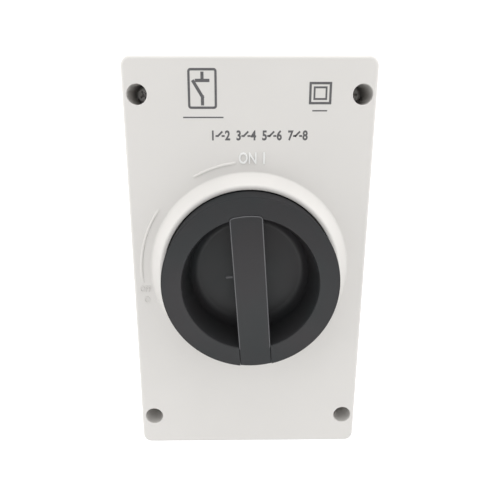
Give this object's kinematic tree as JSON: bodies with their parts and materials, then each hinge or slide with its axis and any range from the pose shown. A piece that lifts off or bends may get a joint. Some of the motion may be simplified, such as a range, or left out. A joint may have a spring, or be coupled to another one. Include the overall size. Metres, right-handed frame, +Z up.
{
  "type": "rotary isolator switch",
  "caption": "Wall-mounted rotary isolator switch: sealed box with a screwed cover, a conical collar, and a round dished knob with a padlock lever across it.",
  "frame": {"origin": "centre of the rear wall-mounting face", "axes": "+Y into the wall, -Y out of the front, +Z up, +X to the right seen from the front"},
  "size_m": [0.099, 0.085, 0.1764],
  "materials": {
    "cover_plastic": "satin moulded light grey",
    "base_plastic": "satin moulded light grey",
    "knob_plastic": "semi-gloss black",
    "switch_plastic": "matt dark grey",
    "rubber": "matt black",
    "steel": "zinc plated",
    "copper": "bright copper"
  },
  "bodies": {
    "box": {"base_box": "base_plastic", "front_cover": "cover_plastic", "cover_gasket": "rubber", "cover_screw_1": "steel", "cover_screw_2": "steel", "cover_screw_3": "steel", "cover_screw_4": "steel", "entry_plug_1": "base_plastic", "entry_plug_2": "base_plastic", "entry_plug_seal_1": "rubber", "entry_plug_seal_2": "rubber", "din_rail": "steel", "rail_screw_1": "steel", "rail_screw_2": "steel", "mounting_foot": "switch_plastic", "pole_housing_1": "switch_plastic", "pole_housing_2": "switch_plastic", "pole_housing_3": "switch_plastic", "pole_housing_4": "switch_plastic", "fixed_contact_1": "copper", "fixed_contact_2": "copper", "fixed_contact_3": "copper", "fixed_contact_4": "copper", "fixed_contact_5": "copper", "fixed_contact_6": "copper", "fixed_contact_7": "copper", "fixed_contact_8": "copper", "terminal_screw_1": "steel", "terminal_screw_2": "steel", "terminal_screw_3": "steel", "terminal_screw_4": "steel", "terminal_screw_5": "steel", "terminal_screw_6": "steel", "terminal_screw_7": "steel", "terminal_screw_8": "steel", "mechanism_housing": "switch_plastic", "stack_bolt_1": "steel", "stack_bolt_2": "steel", "shaft_seal": "rubber"},
    "knob": {"knob_body": "knob_plastic", "knob_screw": "steel", "drive_shaft": "steel", "drive_cam": "switch_plastic", "snap_spring": "steel", "lever_pin": "steel", "lever_spring": "steel"},
    "lever": {"padlock_lever": "knob_plastic"},
    "contacts": {"contact_shaft": "switch_plastic", "rotor_1": "switch_plastic", "rotor_2": "switch_plastic", "rotor_3": "switch_plastic", "rotor_4": "switch_plastic", "moving_contact_1": "copper", "moving_contact_2": "copper", "moving_contact_3": "copper", "moving_contact_4": "copper"},
    "clip": {"rail_clip": "switch_plastic"}
  },
  "joints": [
    {"name": "knob_turn", "type": "hinge", "parent": "box", "child": "knob", "pos_m": [0, -0.075, 0], "axis": [0, -1, 0], "range_deg": [-4, 86]},
    {"name": "padlock_lever_tilt", "type": "hinge", "parent": "knob", "child": "lever", "pos_m": [0.00216, -0.0795, -0.03092], "axis": [0.9976, 0, 0.0698], "range_deg": [0, 35], "stiffness_Nm_per_rad": 0.02, "springref_deg": -11.46},
    {"name": "contacts_turn", "type": "hinge", "parent": "box", "child": "contacts", "pos_m": [0, -0.032, 0], "axis": [0, -1, 0], "range_deg": [-4, 86]},
    {"name": "rail_clip_slide", "type": "slide", "parent": "box", "child": "clip", "axis": [0, 0, -1], "range_m": [0, 0.003], "stiffness_N_per_m": 200}
  ],
  "couplings": [
    {"joint": "contacts_turn", "follows": "knob_turn", "ratio": 1}
  ]
}
